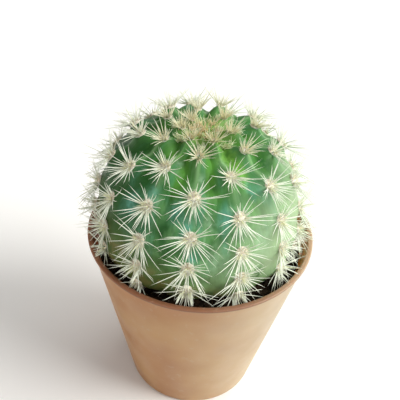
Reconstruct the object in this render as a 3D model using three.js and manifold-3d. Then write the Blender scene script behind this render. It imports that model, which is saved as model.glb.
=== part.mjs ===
// A small ribbed globular cactus, grown in one piece, standing in the soil of a thin plastic pot.
// Millimetres, +Z up. The origin is the middle of the flat underside of the pot, and -Y is the front.
import * as THREE from 'three';
import { mergeVertices } from 'three/addons/utils/BufferGeometryUtils.js';
import Module from 'manifold-3d';

const wasm = await Module();
wasm.setup();
const { lerp, smoothstep, degToRad } = THREE.MathUtils;

// Driving dimensions

const pot = {
  lipRadius: 25.0,      // outer radius of the lip
  height: 44.0,
  wall: 0.8,
  lipHeight: 0.8,
  lipOverhang: 0.5,     // how far the lip stands out from the wall
  taper: 0.21,          // how much the radius shrinks for each millimetre down
  floor: 1.2,
  edge: 0.25,           // small bevels on the lip and the foot
  drains: 5,
  drainRadius: 2.2,
  drainCircle: 9.0,     // the middle of the floor stays solid
  drainSides: 16,
  sides: 72,
};

const plant = {
  ribs: 13,
  radius: 22.2,         // over the crests at the waist, where the plant is widest
  crownHeight: 24.8,    // from the waist up to the crown
  bellyDepth: 9.0,      // from the waist down to where the rounding would close
  crownPower: 2.46,     // above 2, the outline is fuller than an ellipse
  bellyPower: 2.3,
  waistOverLip: 1.7,
  offset: [-1.0, 0.7],  // it stands a little off the middle of the pot
  firstRib: -2.2,       // degrees from the front, towards +X
  furrow: 2.3,          // depth of the furrows between the ribs
  notch: 1.0,           // depth of the dips between the tubercles of a rib
  furrowSway: 0.09,     // how far a furrow gives way to a tubercle beside it, in rib widths
  crownDip: 0.7,
  crownDipRadius: 4.5,
  fullRelief: 15.0,     // the radius from which the ribs have their full depth
  fadeFrom: 2.5,        // the ribs begin to fade out at this height over the soil,
  fadeTo: -3.5,         // and are gone at this depth under it
  neckRadius: 9.5,      // the root neck, which stands in the soil
  neckTaper: 0.7,
  shoulder: 4.5,        // from the end of the rounding down to the neck
  neckDepth: 18.0,      // from the lip down to the neck's end
};

// Along a rib, place number v lies at the arc firstStep * v - slowing * v * v from the crown.
// Even ribs carry areoles at whole numbers and odd ribs at the halves between them.
const areoles = {
  firstStep: 10.2,
  slowing: 0.5,
  drift: 0.04,          // each rib starts a little later than the one before it
  last: 5.5,            // the lowest place that carries an areole, just over the soil
  height: 0.7,          // of the felt
};

const spines = {
  radial: 10,
  length: 6.2,
  upReach: 0.7,         // part of the length that a spine has towards the crown,
  sideReach: 0.3,       // what it gains to the sides,
  downReach: 0.15,      // and downwards
  uneven: 0.2,          // how much the length varies
  lean: 0.3,            // radians over the skin, at least,
  leanSpread: 0.2,      // and up to this much more
  centralReach: 0.6,
  centralLean: 1.2,
  thickness: 0.42,      // across the base
  sides: 3,
  sunk: 0.9,            // the root, below the top of the felt
  spread: 0.5,          // from the middle of the areole to a radial spine's root
  youngSize: 0.55,      // of the fans next to the crown
  clearance: 0.45,      // to the pot and the soil
  raiseStep: 0.12,      // a spine that isn't clear is raised in such steps,
  steepest: 1.35,       // up to this lean, and is then cut in such steps,
  shortest: 0.5,        // down to this part of its length
};

const tuft = { spines: 10, from: 0.12, to: 0.32, length: 3.8, uneven: 0.3, lean: 1.1, leanSpread: 0.35 };

const soil = {
  belowLip: 4.2,
  gap: 0.3,             // to the pot and to the plant
  grain: 0.45,          // height of the crumbs on top
  edge: 0.6,            // how much the top is rounded at the wall
  ringFrom: 15.5,       // the rings of crumbs
  ringStep: 1.2,
  sides: 72,
};

const mesh = { columnsPerRib: 5, rowsPerStep: 4, openRows: 23, buriedPlaces: [6.25, 6.9] };

const potInside = (z) => pot.lipRadius - pot.lipOverhang - pot.wall - pot.taper * (pot.height - z);
const waistZ = pot.height + plant.waistOverLip;
const soilTop = pot.height - soil.belowLip;

// The angle of a place around the plant, in rib widths from the front rib
const azimuth = (around) => degToRad(plant.firstRib) + (2 * Math.PI * around) / plant.ribs - Math.PI / 2;

// Small helpers

// A repeatable stream of numbers from 0 to 1
function randomStream(seed) {
  let state = seed;
  return () => {
    state = (state + 0x6d2b79f5) | 0;
    let t = Math.imul(state ^ (state >>> 15), 1 | state);
    t = (t + Math.imul(t ^ (t >>> 7), 61 | t)) ^ t;
    return ((t ^ (t >>> 14)) >>> 0) / 4294967296;
  };
}

function solidOf(geometry) {
  const bare = geometry.clone();
  bare.deleteAttribute('normal');
  bare.deleteAttribute('uv');
  const merged = mergeVertices(bare, 1e-4);
  return new wasm.Manifold(new wasm.Mesh({
    numProp: 3,
    vertProperties: new Float32Array(merged.attributes.position.array),
    triVerts: new Uint32Array(merged.index.array),
  }));
}

function geometryOf(solid) {
  const result = solid.getMesh();
  const geometry = new THREE.BufferGeometry();
  geometry.setAttribute('position', new THREE.BufferAttribute(result.vertProperties, 3));
  geometry.setIndex(new THREE.BufferAttribute(result.triVerts, 1));
  return geometry;
}

// A turned body, with its axis along Z, from a profile of [radius, z] that goes up the outside
function turned(profile, sides) {
  const geometry = new THREE.LatheGeometry(profile.map(([r, z]) => new THREE.Vector2(r, z)), sides);
  return geometry.rotateX(Math.PI / 2);
}

function piece(name, solid, color, roughness) {
  const geometry = geometryOf(solid);
  geometry.computeVertexNormals();
  const result = new THREE.Mesh(geometry, new THREE.MeshStandardMaterial({ color, roughness, metalness: 0 }));
  result.name = name;
  return result;
}

// The pot: a tapered thin wall with a bead at the lip, a flat foot and drain holes

function makePot() {
  const wallTop = pot.height - pot.lipHeight;
  const outside = (z) => potInside(z) + pot.wall;
  const { lipRadius, height, floor, edge } = pot;
  const shell = solidOf(turned([
    [0, 0],
    [outside(0) - edge, 0],
    [outside(edge), edge],
    [outside(wallTop), wallTop],
    [lipRadius - edge, wallTop],
    [lipRadius, wallTop + edge],
    [lipRadius, height - edge],
    [lipRadius - edge, height],
    [potInside(height) + edge, height],
    [potInside(height - edge), height - edge],
    [potInside(floor), floor],
    [0, floor],
  ], pot.sides));
  const drain = new THREE.CylinderGeometry(pot.drainRadius, pot.drainRadius, 4 * floor, pot.drainSides);
  drain.rotateX(Math.PI / 2);
  let result = shell;
  for (let i = 0; i < pot.drains; i += 1) {
    const angle = (2 * Math.PI * i) / pot.drains + Math.PI / 2;
    const hole = drain.clone().translate(
      pot.drainCircle * Math.cos(angle), pot.drainCircle * Math.sin(angle), floor / 2);
    result = result.subtract(solidOf(hole));
  }
  return piece('pot', result, 0xb98a6c, 0.45);
}

// The plant's outline: a superellipse over the rib crests, measured by its arc from the crown

const outlineSteps = 600;
const outlineEnd = 2.45;   // radians from the crown, where the root neck takes over
const outline = [];
for (let i = 0, arc = 0; i <= outlineSteps; i += 1) {
  const polar = (outlineEnd * i) / outlineSteps;
  const up = Math.cos(polar) >= 0;
  const power = up ? plant.crownPower : plant.bellyPower;
  const r = plant.radius * Math.sin(polar) ** (2 / power);
  const rise = Math.abs(Math.cos(polar)) ** (2 / power);
  const z = waistZ + (up ? plant.crownHeight * rise : -plant.bellyDepth * rise);
  if (i > 0) arc += Math.hypot(r - outline[i - 1].r, z - outline[i - 1].z);
  outline.push({ arc, r, z });
}
const outlineLength = outline[outlineSteps].arc;

// The crest's radius and height at an arc, with its outward direction
function crestAt(arc) {
  let low = 0;
  let high = outlineSteps;
  while (high - low > 1) {
    const middle = (low + high) >> 1;
    if (outline[middle].arc > arc) high = middle;
    else low = middle;
  }
  const [a, b] = [outline[low], outline[high]];
  const t = (arc - a.arc) / (b.arc - a.arc);
  const step = b.arc - a.arc;
  return {
    r: a.r + t * (b.r - a.r),
    z: a.z + t * (b.z - a.z),
    outR: -(b.z - a.z) / step,
    outZ: (b.r - a.r) / step,
  };
}

// Ribs are numbered from -6 to 6, with 0 at the front
const wrapped = (around) => around - plant.ribs * Math.round(around / plant.ribs);
const isOdd = (rib) => Math.abs(Math.round(wrapped(rib))) % 2 === 1;

// The drift grows with the rib's number and is undone in the furrow at the back
function driftAt(around) {
  const n = wrapped(around);
  const last = (plant.ribs - 1) / 2;
  const past = Math.max(0, Math.abs(n) - last) / (plant.ribs / 2 - last);
  return areoles.drift * Math.sign(n) * Math.min(Math.abs(n), last) * (1 - past);
}

const arcAt = (v, around) => {
  const drifted = v + driftAt(around) * Math.min(1, v);
  return areoles.firstStep * drifted - areoles.slowing * drifted * drifted;
};

// How far the skin lies inside the crest's outline, at a place v and an angle in rib widths
function reliefAt(v, around, crest) {
  const swell = (rib) => (isOdd(rib) ? -1 : 1) * Math.cos(2 * Math.PI * v);
  const left = Math.floor(around);
  const part = around - left;
  const border = 0.5 + (plant.furrowSway * (swell(left) - swell(left + 1))) / 2;
  const onLeft = part < border;
  const rib = onLeft ? left : left + 1;
  const across = onLeft ? (0.5 * part) / border : (0.5 * (1 - part)) / (1 - border);
  const ridge = Math.cos(Math.PI * across);
  const dip = 0.5 - 0.5 * swell(rib);
  const fadeIn = Math.min(1, crest.r / plant.fullRelief);
  const fadeOut = smoothstep(crest.z, soilTop + plant.fadeTo, soilTop + plant.fadeFrom);
  const atCrown = plant.crownDip * Math.exp(-((crest.r / plant.crownDipRadius) ** 2));
  return atCrown + fadeIn * fadeOut * (plant.furrow * (1 - ridge) + plant.notch * dip * ridge);
}

// A point of the skin, with its outward, eastward and upward directions
function skinPoint(v, around, arc = arcAt(v, around)) {
  const crest = crestAt(arc);
  const inward = reliefAt(v, around, crest);
  const r = crest.r - inward * crest.outR;
  const angle = azimuth(around);
  const out = new THREE.Vector3(crest.outR * Math.cos(angle), crest.outR * Math.sin(angle), crest.outZ);
  const east = new THREE.Vector3(-Math.sin(angle), Math.cos(angle), 0);
  const point = new THREE.Vector3(
    plant.offset[0] + r * Math.cos(angle),
    plant.offset[1] + r * Math.sin(angle),
    crest.z - inward * crest.outZ);
  return { point, out, east, up: new THREE.Vector3().crossVectors(out, east) };
}

// The root neck narrows below the rounded belly: rows of [radius, z]
const neckBottom = pot.height - plant.neckDepth;
const neckRows = [
  [plant.neckRadius, outline[outlineSteps].z - plant.shoulder],
  [plant.neckRadius * plant.neckTaper, neckBottom],
];

// The lines of places down the plant that carry the mesh, ending at the neck
const places = [
  ...Array.from({ length: mesh.openRows }, (_, i) => (i + 1) / mesh.rowsPerStep),
  ...mesh.buriedPlaces,
];
const carriesAreole = (v, around) => Number.isInteger(around) && v <= areoles.last
  && Math.abs(v % 1 - (isOdd(around) ? 0.5 : 0)) < 1e-6;

function makeBody() {
  const positions = [];
  const faces = [];
  const columns = plant.ribs * mesh.columnsPerRib;
  const ring = (pointAt) => {
    for (let j = 0; j < columns; j += 1) positions.push(...pointAt(j / mesh.columnsPerRib));
  };
  positions.push(...plant.offset, outline[0].z - plant.crownDip);
  for (const v of places) {
    ring((around) => {
      const { point, out } = skinPoint(v, around);
      if (carriesAreole(v, around)) point.addScaledVector(out, areoles.height);
      return point.toArray();
    });
  }
  ring((around) => skinPoint(areoles.last, around, outlineLength).point.toArray());
  for (const [r, z] of neckRows) {
    ring((around) => {
      const angle = azimuth(around);
      return [plant.offset[0] + r * Math.cos(angle), plant.offset[1] + r * Math.sin(angle), z];
    });
  }
  const rings = places.length + 1 + neckRows.length;
  const at = (row, j) => 1 + row * columns + (j % columns);
  for (let j = 0; j < columns; j += 1) faces.push(0, at(0, j), at(0, j + 1));
  for (let row = 0; row < rings - 1; row += 1) {
    for (let j = 0; j < columns; j += 1) {
      const [a, b] = [at(row, j), at(row, j + 1)];
      const [c, d] = [at(row + 1, j), at(row + 1, j + 1)];
      if ((j + row) % 2 === 0) faces.push(a, c, d, a, d, b);
      else faces.push(a, c, b, b, c, d);
    }
  }
  const foot = positions.length / 3;
  positions.push(...plant.offset, neckBottom);
  for (let j = 0; j < columns; j += 1) faces.push(foot, at(rings - 1, j + 1), at(rings - 1, j));
  const geometry = new THREE.BufferGeometry();
  geometry.setAttribute('position', new THREE.Float32BufferAttribute(positions, 3));
  geometry.setIndex(faces);
  return solidOf(geometry);
}

// Whether a spine from root to tip keeps clear of the pot's rim and of the soil
function isClear(root, tip) {
  const { clearance } = spines;
  return [0.25, 0.4, 0.55, 0.7, 0.85, 1].every((part) => {
    const { x, y, z } = root.clone().lerp(tip, part);
    const overSoil = z > soilTop + soil.grain + clearance;
    const overLip = z > pot.height + clearance;
    return overSoil && (overLip || Math.hypot(x, y) < potInside(pot.height) - clearance);
  });
}

function makeNeedle(root, tip, roll) {
  const axis = new THREE.Vector3().subVectors(tip, root);
  const length = axis.length();
  const needle = new THREE.ConeGeometry(spines.thickness / 2, length, spines.sides, 1);
  needle.rotateY(roll);
  needle.translate(0, length / 2, 0);
  needle.applyQuaternion(
    new THREE.Quaternion().setFromUnitVectors(new THREE.Vector3(0, 1, 0), axis.normalize()));
  needle.translate(...root.toArray());
  return solidOf(needle);
}

// A straight spine that is raised, and then cut shorter, until it is clear of the pot and the soil
function clearNeedle(root, side, out, fullLength, lean, roll) {
  let up = Math.min(lean, spines.steepest);
  let part = 1;
  while (part > spines.shortest) {
    const length = fullLength * part;
    const tip = root.clone().addScaledVector(side, Math.cos(up) * length)
      .addScaledVector(out, Math.sin(up) * length);
    if (isClear(root, tip)) return [makeNeedle(root, tip, roll)];
    if (up < spines.steepest) up = Math.min(up + spines.raiseStep, spines.steepest);
    else part -= spines.raiseStep;
  }
  return [];
}

// A fan round each areole, longest to the sides and down, and one spine that stands out
function makeFan(v, rib, draw) {
  const { point, out, east, up } = skinPoint(v, rib);
  const size = lerp(spines.youngSize, 1, smoothstep(v, 0, 1.5));
  const base = point.clone().addScaledVector(out, areoles.height - spines.sunk);
  const turn = draw();
  const fan = [];
  for (let k = 0; k < spines.radial; k += 1) {
    const angle = ((k + turn + 0.3 * (draw() - 0.5)) / spines.radial) * 2 * Math.PI;
    const side = east.clone().multiplyScalar(Math.cos(angle)).addScaledVector(up, Math.sin(angle));
    const reach = spines.upReach + spines.sideReach * Math.abs(Math.cos(angle))
      + spines.downReach * Math.max(-Math.sin(angle), 0);
    const length = size * spines.length * reach * (1 + spines.uneven * (draw() - 0.5));
    const lean = spines.lean + spines.leanSpread * draw();
    const root = base.clone().addScaledVector(side, spines.spread * size);
    fan.push(...clearNeedle(root, side, out, length, lean, draw() * Math.PI));
  }
  const central = size * spines.length * spines.centralReach;
  fan.push(...clearNeedle(base, up, out, central, spines.centralLean, draw() * Math.PI));
  return fan;
}

// The young spines that stand up in the middle of the crown
function makeTuft(draw) {
  const solids = [];
  for (let k = 0; k < tuft.spines; k += 1) {
    const around = (plant.ribs * (k + 0.5 * draw())) / tuft.spines;
    const { point, out, up } = skinPoint(lerp(tuft.from, tuft.to, draw()), around);
    const length = tuft.length * (1 + tuft.uneven * (draw() - 0.5));
    const lean = tuft.lean + tuft.leanSpread * draw();
    point.addScaledVector(out, -spines.sunk);
    solids.push(...clearNeedle(point, up, out, length, lean, draw() * Math.PI));
  }
  return solids;
}

function makeCactus() {
  const draw = randomStream(11);
  const solids = [makeBody()];
  for (let rib = 0; rib < plant.ribs; rib += 1) {
    for (let v = isOdd(rib) ? 0.5 : 1; v <= areoles.last; v += 1) {
      solids.push(...makeFan(v, rib, draw));
    }
  }
  solids.push(...makeTuft(draw));
  return piece('cactus', wasm.Manifold.union(solids), 0x4f8a55, 0.5);
}

// The soil: a plug that fills the pot, crumbly on top

function makePlug() {
  const bottom = pot.floor + soil.gap;
  const outside = (z) => potInside(z) - soil.gap;
  const shoulder = soilTop - soil.edge;
  const rings = [];
  for (let r = outside(shoulder) - soil.edge; r > soil.ringFrom; r -= soil.ringStep) {
    rings.push([r, soilTop]);
  }
  const plug = turned([
    [0, bottom], [outside(bottom), bottom], [outside(shoulder), shoulder], ...rings, [0, soilTop],
  ], soil.sides);
  const draw = randomStream(5);
  const vertices = plug.attributes.position;
  const heights = new Map();
  for (let i = 0; i < vertices.count; i += 1) {
    const key = `${Math.round(vertices.getX(i) * 100)} ${Math.round(vertices.getY(i) * 100)}`;
    const isCrumb = vertices.getZ(i) > soilTop - 1e-3 && key !== '0 0';
    if (isCrumb && !heights.has(key)) heights.set(key, soil.grain * (draw() - 0.35));
    if (isCrumb) vertices.setZ(i, soilTop + heights.get(key));
  }
  return solidOf(plug);
}

// The plain hole in the soil that the plant's belly and root neck stand in
function makeHole() {
  const buried = outline.filter((p) => p.z < soilTop + plant.fadeFrom && p.z < waistZ);
  const every = Math.floor(buried.length / 8);
  const belly = buried.filter((p, i) => (buried.length - 1 - i) % every === 0).reverse()
    .map((p) => [p.r + soil.gap, p.z - soil.gap]);
  const neck = neckRows.map(([r, z]) => [r + soil.gap, z - soil.gap]).reverse();
  const over = soilTop + 2 * plant.fadeFrom;
  const hole = turned([
    [0, neckBottom - soil.gap], ...neck, ...belly, [belly[belly.length - 1][0], over], [0, over],
  ], soil.sides);
  return solidOf(hole.translate(...plant.offset, 0));
}

function makeSoil() {
  return piece('soil', makePlug().subtract(makeHole()), 0x2b2018, 0.95);
}

const pottedCactus = new THREE.Group();
pottedCactus.add(makePot(), makeSoil(), makeCactus());

export default pottedCactus;
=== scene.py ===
import bpy
import numpy as np
from mathutils import Matrix, Vector


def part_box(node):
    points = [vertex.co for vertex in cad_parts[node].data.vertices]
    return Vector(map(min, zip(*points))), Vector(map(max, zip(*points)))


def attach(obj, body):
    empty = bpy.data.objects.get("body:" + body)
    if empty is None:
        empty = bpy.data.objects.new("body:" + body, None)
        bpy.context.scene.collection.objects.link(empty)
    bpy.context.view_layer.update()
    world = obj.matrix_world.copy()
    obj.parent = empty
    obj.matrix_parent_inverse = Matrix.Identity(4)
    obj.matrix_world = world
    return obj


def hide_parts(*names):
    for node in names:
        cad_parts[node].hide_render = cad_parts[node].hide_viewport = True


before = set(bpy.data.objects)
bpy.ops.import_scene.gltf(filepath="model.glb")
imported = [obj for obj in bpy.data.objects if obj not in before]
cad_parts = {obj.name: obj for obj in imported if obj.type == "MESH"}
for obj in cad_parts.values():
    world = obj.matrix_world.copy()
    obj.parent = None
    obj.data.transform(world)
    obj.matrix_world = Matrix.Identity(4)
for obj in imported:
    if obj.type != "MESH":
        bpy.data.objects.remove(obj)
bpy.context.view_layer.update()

# A small ribbed globular cactus in the soil of a thin plastic pot.
# Lengths in the dictionaries are millimetres, angles degrees or, where a note says so, radians. A place
# is an areole's number along its rib, counted from the crown.

millimetre = 0.001
potLow, potHigh = (np.array(corner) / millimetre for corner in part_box("pot"))

potShape = {
    "height": potHigh[2],
    "lipRadius": (potHigh[0] - potLow[0]) / 2,
    "wall": 0.7,
    "lipHeight": 0.70,
    "lipOverhang": 0.4,
    "taper": 0.21,        # how much the radius shrinks for each millimetre down
    "floor": 1.2,
    "drains": 5,
    "drainRadius": 2.2,
    "drainCircle": 9.0,
}

soilBelowLip = 4.2
soilTop = potShape["height"] - soilBelowLip

plant = {
    "ribs": 13,
    "radius": 22.2,       # over the crests at the waist
    "crownHeight": 24.8,
    "bellyDepth": 9.0,
    "crownPower": 2.46,   # above 2, the outline is fuller than an ellipse
    "bellyPower": 2.3,
    "waistOverLip": 1.7,
    "outlinePoints": 1201,
    "outlineEnd": 2.45,   # radians from the crown, where the root neck takes over
    "offset": (-1.0, 0.7),
    "firstRib": -2.2,     # degrees from the front, towards +X
    "furrow": 2.4,
    "furrowLow": 0.28,    # part of the furrow's depth that is left lower down, where the ribs have swollen
    "furrowRound": 0.22,  # how softly the bottom of a furrow is rounded
    "notch": 1.3,         # depth of the dips between the tubercles of a rib
    "notchHigh": 1.5,     # times the notch, next to the crown,
    "notchFades": (0.9, 2.2),  # and the places between which that ends
    "notchLow": 0.45,
    "flattening": (0.8, 3.0),  # the places between which the relief gets that much lower
    "furrowSway": 0.06,   # how far a furrow gives way to a tubercle beside it, in rib widths
    "crownDip": 1.6,
    "crownDipRadius": 6.0,
    "fullRelief": 8.0,    # the radius from which the ribs have their full depth
    "fadeFrom": 2.5,      # over the soil
    "fadeTo": -3.5,
    "neckRadius": 9.5,
    "neckTaper": 0.7,
    "shoulder": 4.5,
    "neckDepth": 18.0,
    "keelWidth": 0.080,   # of the thin line along a crest, in rib widths
    "keelHeight": 0.18,
    "unevenness": 0.16,   # of the skin, from one place to another
    "unevenSize": 5.0,
}

# Along a rib, place v lies at the arc firstStep * v - slowing * v * v from the crown
rows = {"firstStep": 10.2, "slowing": 0.5, "drift": 0.04, "last": 5.5}

seeds = {"skin": 3, "felt": 8, "hairs": 21, "fans": 11, "centrals": 12, "crumbs": (5, 6), "grains": 31}

waistZ = potShape["height"] + plant["waistOverLip"]
neckBottom = potShape["height"] - plant["neckDepth"]
plantOffset = np.array(plant["offset"])
plantShift = np.array([*plantOffset, 0])


def potInside(z):
    return (potShape["lipRadius"] - potShape["lipOverhang"] - potShape["wall"]
            - potShape["taper"] * (potShape["height"] - z))


def smoothStep(x, low, high):
    t = np.clip((x - low) / (high - low), 0, 1)
    return t * t * (3 - 2 * t)


# Mesh helpers

# Value noise from -1 to 1: seeded numbers on a lattice of this cell size, blended by smoothstep weights
def softNoise(points, cell, seed):
    cells = 32
    lattice = np.random.default_rng(seed).uniform(-1, 1, (cells, cells, cells))
    scaled = np.asarray(points, float) / cell
    low = np.floor(scaled).astype(int)
    part = scaled - low
    part = part * part * (3 - 2 * part)
    total = 0
    for corner in np.ndindex(2, 2, 2):
        index = (low + corner) % cells
        weight = np.prod(np.where(np.array(corner) == 1, part, 1 - part), axis=-1)
        total = total + weight * lattice[index[..., 0], index[..., 1], index[..., 2]]
    return total


# Quads between neighbouring rings of a stack of closed rings, turned outwards when the rings go
# anticlockwise and climb, or with "down" when they go anticlockwise and descend
def bandFaces(rings, columns, down=False):
    ring, column = np.mgrid[0:rings - 1, 0:columns]
    here = ring * columns + column
    beside = ring * columns + (column + 1) % columns
    order = [here, here + columns, beside + columns, beside]
    if not down:
        order.reverse()
    return np.stack(order, -1).reshape(-1, 4)


# Triangles from the ring that starts at "first" to a pole, turned outwards for a pole above or below
def capFaces(first, columns, pole, above):
    here = first + np.arange(columns)
    beside = first + (np.arange(columns) + 1) % columns
    ends = (here, beside) if above else (beside, here)
    return np.stack([*ends, np.full(columns, pole)], -1)


# The faces of one small shape, repeated for many copies whose points follow one another
def repeatFaces(faces, copies, pointsEach):
    shift = (np.arange(copies) * pointsEach)[:, None, None]
    return [(face[None] + shift).reshape(-1, face.shape[1]) for face in faces]


# Closed surfaces from stacks of rings (stacks, rings, columns, 3) and the poles at either end
def closedStacks(rings, firstPoles, lastPoles, down=False):
    copies, count, columns = rings.shape[:3]
    poles = [np.reshape(pole, (copies, 1, 3)) for pole in (firstPoles, lastPoles)]
    points = np.concatenate([rings.reshape(copies, -1, 3), *poles], 1)
    total = count * columns
    faces = [bandFaces(count, columns, down), capFaces(0, columns, total, above=down),
             capFaces(total - columns, columns, total + 1, above=not down)]
    return points.reshape(-1, 3), repeatFaces(faces, copies, total + 2)


# Angles that divide a full turn evenly, and the point at a radius, an angle from +X and a height
def turns(count):
    return 2 * np.pi * np.arange(count) / count


def circlePoint(radius, angle, z=0.0):
    return np.stack(np.broadcast_arrays(radius * np.cos(angle), radius * np.sin(angle), z), -1)


def unit(vectors):
    return vectors / np.linalg.norm(vectors, axis=-1, keepdims=True)


def addObject(name, data):
    made = bpy.data.objects.new(name, data)
    bpy.context.scene.collection.objects.link(made)
    return made


# A mesh from points in millimetres, blocks of faces, and attributes with a value for each point
def addMesh(name, points, faces, material, values=None):
    mesh = bpy.data.meshes.new(name)
    corners = [polygon for block in faces for polygon in block.tolist()]
    mesh.from_pydata((np.asarray(points) * millimetre).tolist(), [], corners)
    for key, value in (values or {}).items():
        value = np.asarray(value, np.float32)
        kind, field = ("FLOAT_VECTOR", "vector") if value.ndim == 2 else ("FLOAT", "value")
        mesh.attributes.new(key, kind, "POINT").data.foreach_set(field, value.ravel())
    mesh.shade_smooth()
    mesh.materials.append(material)
    mesh.validate()
    return addObject(name, mesh)


def finishPiece(piece, slotName, *nodeNames):
    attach(piece, "root")
    if nodeNames:
        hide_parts(*nodeNames)
    triangles = sum(len(polygon.vertices) - 2 for polygon in piece.data.polygons)
    print(f"{piece.name}: {triangles} triangles")


# The plant's form: a superellipse over the rib crests, measured by its arc from the crown

polar = np.linspace(0, plant["outlineEnd"], plant["outlinePoints"])
power = np.where(np.cos(polar) >= 0, plant["crownPower"], plant["bellyPower"])
rise = np.abs(np.cos(polar)) ** (2 / power)
outlineR = plant["radius"] * np.sin(polar) ** (2 / power)
outlineZ = waistZ + np.where(np.cos(polar) >= 0, plant["crownHeight"], -plant["bellyDepth"]) * rise
outlineArc = np.concatenate([[0], np.cumsum(np.hypot(np.diff(outlineR), np.diff(outlineZ)))])
outlineLength = outlineArc[-1]


# Radius, height and outward direction (radial and vertical parts) of the crest at an arc
def crestAt(arc):
    step = 0.2
    before, after = np.clip(arc - step, 0, outlineLength), np.clip(arc + step, 0, outlineLength)
    alongR = np.interp(after, outlineArc, outlineR) - np.interp(before, outlineArc, outlineR)
    alongZ = np.interp(after, outlineArc, outlineZ) - np.interp(before, outlineArc, outlineZ)
    length = np.hypot(alongR, alongZ)
    return (np.interp(arc, outlineArc, outlineR), np.interp(arc, outlineArc, outlineZ),
            -alongZ / length, alongR / length)


# Ribs are numbered from -6 to 6, with 0 at the front
def wrapped(around):
    return around - plant["ribs"] * np.floor(around / plant["ribs"] + 0.5)


def isOdd(rib):
    return np.abs(np.round(wrapped(rib))) % 2 == 1


# The drift grows with the rib's number and is undone in the furrow at the back
def driftAt(around):
    number = wrapped(around)
    last = (plant["ribs"] - 1) / 2
    past = np.maximum(0, np.abs(number) - last) / (plant["ribs"] / 2 - last)
    return rows["drift"] * np.sign(number) * np.minimum(np.abs(number), last) * (1 - past)


def arcAt(v, around):
    drifted = v + driftAt(around) * np.minimum(1, v)
    return rows["firstStep"] * drifted - rows["slowing"] * drifted ** 2


# 1 at a tubercle's top and -1 between two tubercles of a rib
def swellOf(rib, v):
    return np.where(isOdd(rib), -1, 1) * np.cos(2 * np.pi * v)


def borderAt(left, v):
    return 0.5 + plant["furrowSway"] * (swellOf(left, v) - swellOf(left + 1, v)) / 2


# A point of the skin at place v and an angle in rib widths: the crest, moved inwards by
# furrow * (1 - ridge) + notch * dip * ridge, where ridge is the cosine across the rib
def skinPoint(v, around, arc=None):
    v, around = np.broadcast_arrays(np.asarray(v, float), np.asarray(around, float))
    crestR, crestZ, outR, outZ = crestAt(arcAt(v, around) if arc is None else arc)
    left = np.floor(around)
    part = around - left
    border = borderAt(left, v)
    onLeft = part < border
    rib = np.where(onLeft, left, left + 1)
    across = np.where(onLeft, 0.5 * part / border, 0.5 * (1 - part) / (1 - border))
    ridge = np.sqrt(np.cos(np.pi * across) ** 2 + plant["furrowRound"] ** 2)
    dip = 0.5 - 0.5 * swellOf(rib, v)
    fade = (np.minimum(1, crestR / plant["fullRelief"])
            * smoothStep(crestZ, soilTop + plant["fadeTo"], soilTop + plant["fadeFrom"]))
    atCrown = plant["crownDip"] * np.exp(-((crestR / plant["crownDipRadius"]) ** 2))
    lower = smoothStep(v, *plant["flattening"])
    furrow = plant["furrow"] * (1 - lower * (1 - plant["furrowLow"]))
    higher = 1 - smoothStep(v, *plant["notchFades"])
    notch = plant["notch"] * (1 - lower * (1 - plant["notchLow"]) + higher * (plant["notchHigh"] - 1))
    inward = atCrown + fade * (furrow * (1 - ridge) + notch * dip * ridge)
    angle = np.radians(plant["firstRib"]) + 2 * np.pi * around / plant["ribs"] - np.pi / 2
    point = circlePoint(crestR - inward * outR, angle, crestZ - inward * outZ) + plantShift
    out = circlePoint(outR, angle, outZ)
    east = np.stack([-np.sin(angle), np.cos(angle), 0 * angle], -1)
    return {"point": point, "out": out, "east": east, "up": np.cross(out, east),
            "ridge": ridge * fade + 1 - fade, "dip": dip * fade, "angle": angle,
            "keel": np.exp(-((across / plant["keelWidth"]) ** 2)) * (1 - lower) * fade}


# The areoles' places: whole numbers on even ribs, and the halves between them on odd ribs
def areolePlaces():
    rib = np.arange(plant["ribs"])
    v = np.arange(0.5, rows["last"] + 0.1, 0.5)
    ribGrid, vGrid = np.meshgrid(rib, v, indexing="ij")
    holds = np.where(isOdd(ribGrid), vGrid % 1 == 0.5, vGrid % 1 == 0)
    return vGrid[holds], ribGrid[holds]


areoleV, areoleRib = areolePlaces()
areole = skinPoint(areoleV, areoleRib)
print(f"plant outline {outlineLength:.1f} mm from crown to neck, {len(areoleV)} areoles")


# Node helpers

def addNode(tree, kind, sockets=None, **settings):
    made = tree.nodes.new("ShaderNode" + kind)
    for key, value in settings.items():
        setattr(made, key, value)
    for key, value in (sockets or {}).items():
        if isinstance(value, bpy.types.NodeSocket):
            tree.links.new(value, made.inputs[key])
        else:
            made.inputs[key].default_value = value
    return made


def blend(tree, factor, first, second):
    return addNode(tree, "Mix", {0: factor, 6: first, 7: second}, data_type="RGBA").outputs[2]


def maths(tree, operation, first, second):
    return addNode(tree, "Math", {0: first, 1: second}, operation=operation).outputs[0]


def product(tree, first, *others):
    for other in others:
        first = maths(tree, "MULTIPLY", first, other)
    return first


# A colour laid over the one below, by the product of the masks and the amount
def layer(tree, below, colour, amount, *masks):
    return blend(tree, product(tree, *masks, amount), below, colour)


# How far along X and how high a point of the piece lies, in millimetres
def acrossAndHeight(tree, place):
    separate = addNode(tree, "SeparateXYZ", {0: place})
    return [product(tree, separate.outputs[axis], 1 / millimetre) for axis in "XZ"]


def rangeOf(tree, value, low, high, toLow=0.0, toHigh=1.0):
    sockets = {"Value": value, "From Min": low, "From Max": high, "To Min": toLow, "To Max": toHigh}
    return addNode(tree, "MapRange", sockets, interpolation_type="SMOOTHSTEP").outputs["Result"]


def attribute(tree, name, output="Fac"):
    return addNode(tree, "Attribute", attribute_name=name).outputs[output]


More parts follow.
